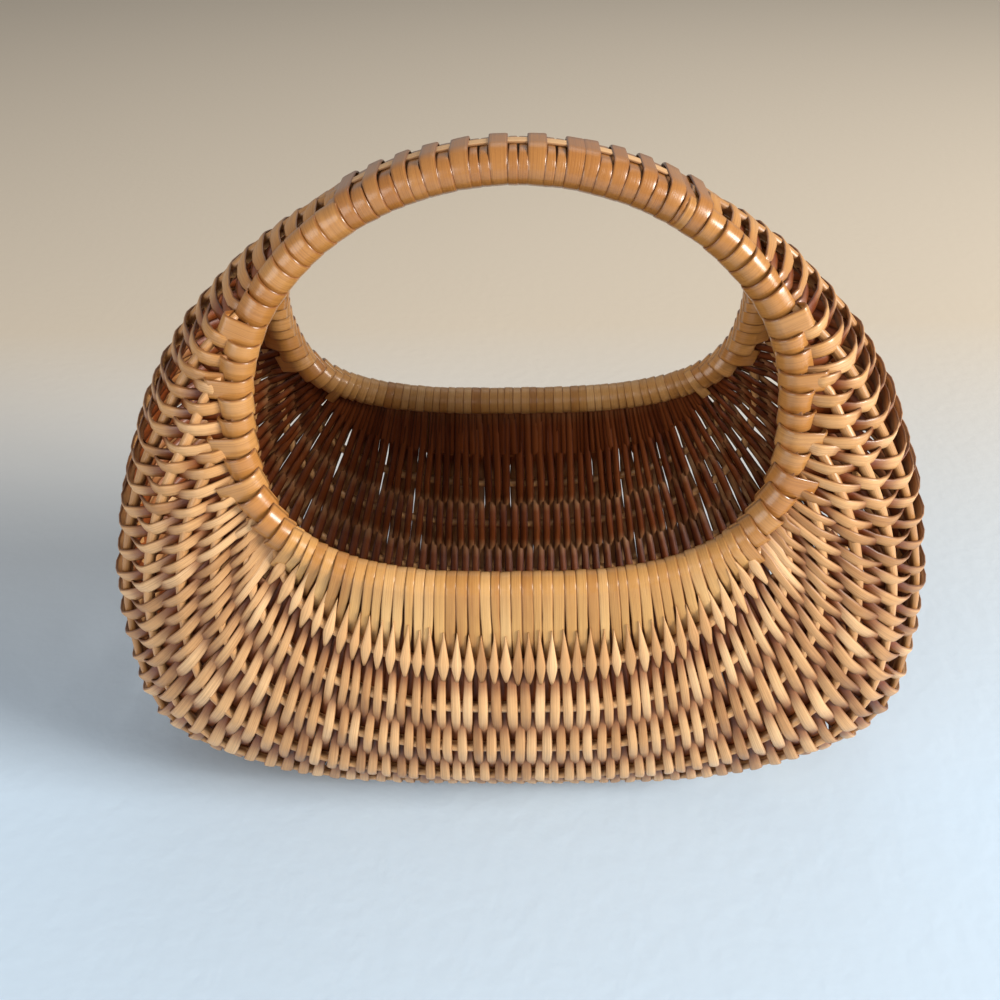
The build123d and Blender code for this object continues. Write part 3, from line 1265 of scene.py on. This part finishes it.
class WillowFinish:
    """Split and round willow: strips of differing tone, grain, thin varnish, and painted shade on
    the skeins' sides and undersides and where they dive.
    """

    STRIP_PLACES = (0.0, 0.22, 0.62, 1.0)
    BLACK, WHITE = (0.0, 0.0, 0.0), (1.0, 1.0, 1.0)
    # Painted shade along a skein's sides and underside: stops across the UV, the dark colour, and
    # its share.
    EDGE_SHADE_STOPS = ((0.11, BLACK), (0.19, WHITE), (0.81, WHITE), (0.89, BLACK))
    EDGE_SHADE_COLOURS = ((0.0, (0.34, 0.22, 0.15)), (1.0, WHITE))
    EDGE_SHADE_SHARE = 0.75
    STREAK_COLOURS = ((0.32, (0.52, 0.40, 0.30)), (0.58, (1.08, 1.06, 1.02)))
    STREAK_SCALE = (28.0, 22.0)
    BLOTCH_SCALE = (55.0, 1.5)
    BLOTCH_SHARE = 0.55
    BLOTCH_MIDDLE = 0.27
    TONE_SPREAD = 37.0
    # The deep brown that painted shade darkens a skein towards.
    PAINTED_SHADE_COLOUR = (0.30, 0.125, 0.052)
    VARNISH_SHARE = 0.8
    COAT_SHARE = 0.6
    COAT_ROUGHNESS = 0.22
    SPECULAR = 0.35
    ROUGH_GRAIN = 0.22
    ROUGH_DROP = 0.10
    BUMP = (0.35, 0.0004)
    ROD_COLOURS = ((0.3, (0.20, 0.085, 0.030)), (0.7, (0.34, 0.160, 0.065)))
    ROD_ROUGHNESS = 0.5
    ROD_NOISE = (140.0, 3.0)

    def __init__(self) -> None:
        """Builds the shared grain group and an empty set of materials."""
        self.grain = self._grain_group()
        self.made: dict[str, bpy.types.Material] = {}

    def _grain_group(self) -> bpy.types.ShaderNodeTree:
        """Node group: lengthwise streaks, blotches and painted shade along the sides and underside,
        from a skein's UV.

        Returns:
            The group, with outputs Streak, Blotch and Edge.
        """
        group = bpy.data.node_groups.new("willow_grain", "ShaderNodeTree")
        face = group.interface
        face.new_socket("Vector", in_out="INPUT", socket_type="NodeSocketVector")
        face.new_socket("Tone", in_out="INPUT", socket_type="NodeSocketFloat")
        for name in ("Streak", "Blotch", "Edge"):
            face.new_socket(name, in_out="OUTPUT", socket_type="NodeSocketFloat")
        nodes = Nodes(group)
        start = group.nodes.new("NodeGroupInput")
        end = group.nodes.new("NodeGroupOutput")
        split = nodes.add("SeparateXYZ", {0: start.outputs["Vector"]})
        spread = nodes.math("MULTIPLY", start.outputs["Tone"], self.TONE_SPREAD)

        def stretched(along: float, across: float) -> Socket:
            """Scales the skein's UV.

            Args:
                along: Scale along the skein.
                across: Scale across it.

            Returns:
                The vector, set apart by the skein's tone.
            """
            x = nodes.math("MULTIPLY", split.outputs["X"], along)
            y = nodes.math("MULTIPLY", split.outputs["Y"], across)
            return nodes.add("CombineXYZ", {"X": x, "Y": y, "Z": spread}).outputs[0]

        streak = nodes.noise(stretched(*self.STREAK_SCALE), 1.0, 3.0)
        blotch = nodes.noise(stretched(*self.BLOTCH_SCALE), 1.0, 2.0)
        # Painted shade on the skein's sides and underside, from its UV across.
        edge = nodes.ramp(split.outputs["Y"], self.EDGE_SHADE_STOPS)
        nodes.feed(end, {"Streak": streak, "Blotch": blotch, "Edge": edge})
        return group

    def material(self, name: str) -> bpy.types.Material:
        """The finish of one material slot, made once."""
        if name not in self.made:
            self.made[name] = self._build(name, TONES[name])
        return self.made[name]

    def _build(self, name: str, tone: WillowTone) -> bpy.types.Material:
        """Makes one material.

        Args:
            name: The slot's name.
            tone: Its colours.

        Returns:
            The material.
        """
        material, nodes, shader = new_material(name)
        strip, varnish = nodes.attribute("tone"), nodes.attribute("gloss")
        skein_uv = nodes.add("UVMap", uv_map="UVMap").outputs[0]
        group = nodes.add("Group", node_tree=self.grain)
        nodes.feed(group, {"Vector": skein_uv, "Tone": strip})
        streak, blotch, edge = (group.outputs[name] for name in ("Streak", "Blotch", "Edge"))

        shifted = nodes.math("SUBTRACT", strip, self.BLOTCH_MIDDLE)
        choice = nodes.math("MULTIPLY_ADD", blotch, self.BLOTCH_SHARE, shifted)
        colour = nodes.ramp(choice, tuple(zip(self.STRIP_PLACES, tone.strips)))
        golden = nodes.math("MULTIPLY", varnish, self.VARNISH_SHARE)
        colour = nodes.mix("MIX", golden, colour, tone.varnish)
        streaks = nodes.ramp(streak, self.STREAK_COLOURS)
        colour = nodes.mix("MULTIPLY", tone.grain, colour, streaks)
        # Painted shade on the sides and underside of each skein.
        colour = nodes.mix("MULTIPLY", self.EDGE_SHADE_SHARE, colour, nodes.ramp(edge, self.EDGE_SHADE_COLOURS))
        # Painted shade: each station's shade value darkens the colour towards a deep brown.
        colour = nodes.mix("MULTIPLY", nodes.attribute("shade"), colour, self.PAINTED_SHADE_COLOUR)

        rough = tone.roughness - self.ROUGH_DROP
        inputs = {
            "Base Color": colour,
            "Roughness": nodes.math("MULTIPLY_ADD", streak, self.ROUGH_GRAIN, rough),
            "Specular IOR Level": self.SPECULAR,
            "Coat Weight": nodes.math("MULTIPLY", varnish, self.COAT_SHARE),
            "Coat Roughness": self.COAT_ROUGHNESS,
            "Normal": nodes.bump(streak, *self.BUMP),
        }
        nodes.feed(shader, inputs)
        return material

    def rod_material(self) -> bpy.types.Material:
        """Makes the finish of the fixed frame's hoop rods, on Object coordinates.

        Returns:
            The material.
        """
        material, nodes, shader = new_material("hoop_rods")
        noise = nodes.noise(nodes.add("TexCoord").outputs["Object"], *self.ROD_NOISE)
        colour = nodes.ramp(noise, self.ROD_COLOURS)
        nodes.feed(shader, {"Base Color": colour, "Roughness": self.ROD_ROUGHNESS})
        return material


@dataclass(frozen=True)
class Lamp:
    """One soft square light: name, place, size, power and colour."""

    name: str
    place: Place
    size: float
    power: float
    colour: Colour


@dataclass
class Studio:
    """Pale floor, soft light from the right, and the photograph's camera."""

    distance: float = 0.417
    elevation: float = 34.4
    azimuth: float = 1.82
    roll: float = -1.55
    target: Place = (-0.0071, 0.0, 0.1268)
    lens: float = 36.0
    sensor: float = 36.0
    clip: Span = (0.01, 20.0)
    lamp_aim: Place = (0.0, 0.0, 0.1)
    lamps: tuple[Lamp, ...] = (
        Lamp("key", (2.25, -0.95, 1.20), 0.9, 110.0, (1.0, 0.96, 0.90)),
        Lamp("back", (0.3, 1.5, 2.2), 1.6, 7.0, (1.0, 0.97, 0.92)),
        Lamp("fill", (-1.3, -1.5, 0.55), 1.4, 22.0, (1.0, 0.97, 0.94)),
    )
    sky_colour: Colour = (0.97, 0.96, 0.95)
    sky_strength: float = 0.32
    floor_size: float = 3.0
    floor_roughness: float = 0.85
    floor_noise: Span = (120.0, 2.0)
    floor_bump: Span = (0.25, 0.001)
    # Painted light: the floor's colour runs from a bluish light in front to a warmer, dimmer light
    # behind.
    floor_depths: Span = (-0.05, 0.45)
    floor_painted_light_tints: tuple[tuple[float, Colour], ...] = (
        (0.0, (0.56, 0.70, 0.85)),
        (1.0, (0.66, 0.58, 0.47)),
    )

    def build(self) -> None:
        """Sets up floor, lights, sky and camera."""
        self._floor()
        for lamp in self.lamps:
            self._light(lamp)
        self._sky()
        self._camera()

    def _floor(self) -> None:
        """A large pale matt floor with a faint grain and painted light: cooler in front, warmer and
        dimmer behind.
        """
        bm = bmesh.new()
        bmesh.ops.create_grid(bm, x_segments=1, y_segments=1, size=self.floor_size)
        mesh = bpy.data.meshes.new("floor")
        bm.to_mesh(mesh)
        bm.free()
        floor = bpy.data.objects.new("floor", mesh)
        bpy.context.scene.collection.objects.link(floor)
        paper, nodes, shader = new_material("floor_paper")
        place = nodes.add("TexCoord").outputs["Object"]
        depth = nodes.add("SeparateXYZ", {0: place}).outputs["Y"]
        near, far = self.floor_depths
        ahead = nodes.add("MapRange", {"Value": depth, "From Min": near, "From Max": far})
        inputs = {
            "Base Color": nodes.ramp(ahead.outputs[0], self.floor_painted_light_tints),
            "Roughness": self.floor_roughness,
            "Normal": nodes.bump(nodes.noise(place, *self.floor_noise), *self.floor_bump),
        }
        nodes.feed(shader, inputs)
        mesh.materials.append(paper)

    def _light(self, lamp: Lamp) -> None:
        """Sets up one light: the key from the right, a weak one behind, a fill on the left.

        Args:
            lamp: Its place, size, power and colour.
        """
        data = bpy.data.lights.new(lamp.name, "AREA")
        data.shape = "SQUARE"
        data.size, data.energy, data.color = lamp.size, lamp.power, lamp.colour
        light = bpy.data.objects.new(lamp.name, data)
        light.location = lamp.place
        light.rotation_mode = "QUATERNION"
        toward = Vector(self.lamp_aim) - Vector(lamp.place)
        light.rotation_quaternion = toward.to_track_quat("-Z", "Y")
        bpy.context.scene.collection.objects.link(light)

    def _sky(self) -> None:
        """A pale even sky."""
        world = bpy.data.worlds.new("sky")
        world.use_nodes = True
        sky = world.node_tree.nodes["Background"]
        sky.inputs["Color"].default_value = (*self.sky_colour, 1)
        sky.inputs["Strength"].default_value = self.sky_strength
        bpy.context.scene.world = world

    def _camera(self) -> None:
        """The camera at the photograph's place and angle."""
        angles = (self.azimuth, self.elevation, self.roll)
        azimuth, elevation, roll = (math.radians(angle) for angle in angles)
        x = math.sin(azimuth) * math.cos(elevation)
        y = -math.cos(azimuth) * math.cos(elevation)
        back = Vector((x, y, math.sin(elevation)))
        level = (-back).cross(Vector((0, 0, 1))).normalized()
        upright = level.cross(-back)
        right = math.cos(roll) * level + math.sin(roll) * upright
        up = -math.sin(roll) * level + math.cos(roll) * upright
        data = bpy.data.cameras.new("camera")
        data.sensor_width, data.lens = self.sensor, self.lens
        data.clip_start, data.clip_end = self.clip
        camera = bpy.data.objects.new("camera", data)
        turned = Matrix((right, up, back)).transposed().to_4x4()
        place = Vector(self.target) + back * self.distance
        camera.matrix_world = Matrix.Translation(place) @ turned
        bpy.context.scene.collection.objects.link(camera)
        bpy.context.scene.camera = camera


def main() -> None:
    """Builds the dressed basket, the studio and the camera."""
    logging.basicConfig(level=logging.INFO, format="%(name)s: %(message)s")
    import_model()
    bpy.context.scene.view_settings.view_transform = "Standard"
    form = BasketForm()
    finish = WillowFinish()

    Ribs(form).build(finish)
    weave = Weave(form).build(finish)
    wraps = RimWraps(form).build(finish)
    for piece in weave + wraps:
        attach(piece, "root")
        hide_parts("woven_wall")
    Handle(form).build(finish)

    rod = finish.rod_material()
    for name in ("front_hoop", "back_hoop"):
        node = bpy.data.objects[name]
        node.data.materials.clear()
        node.data.materials.append(rod)

    Studio().build()


if __name__ == "__main__":
    main()
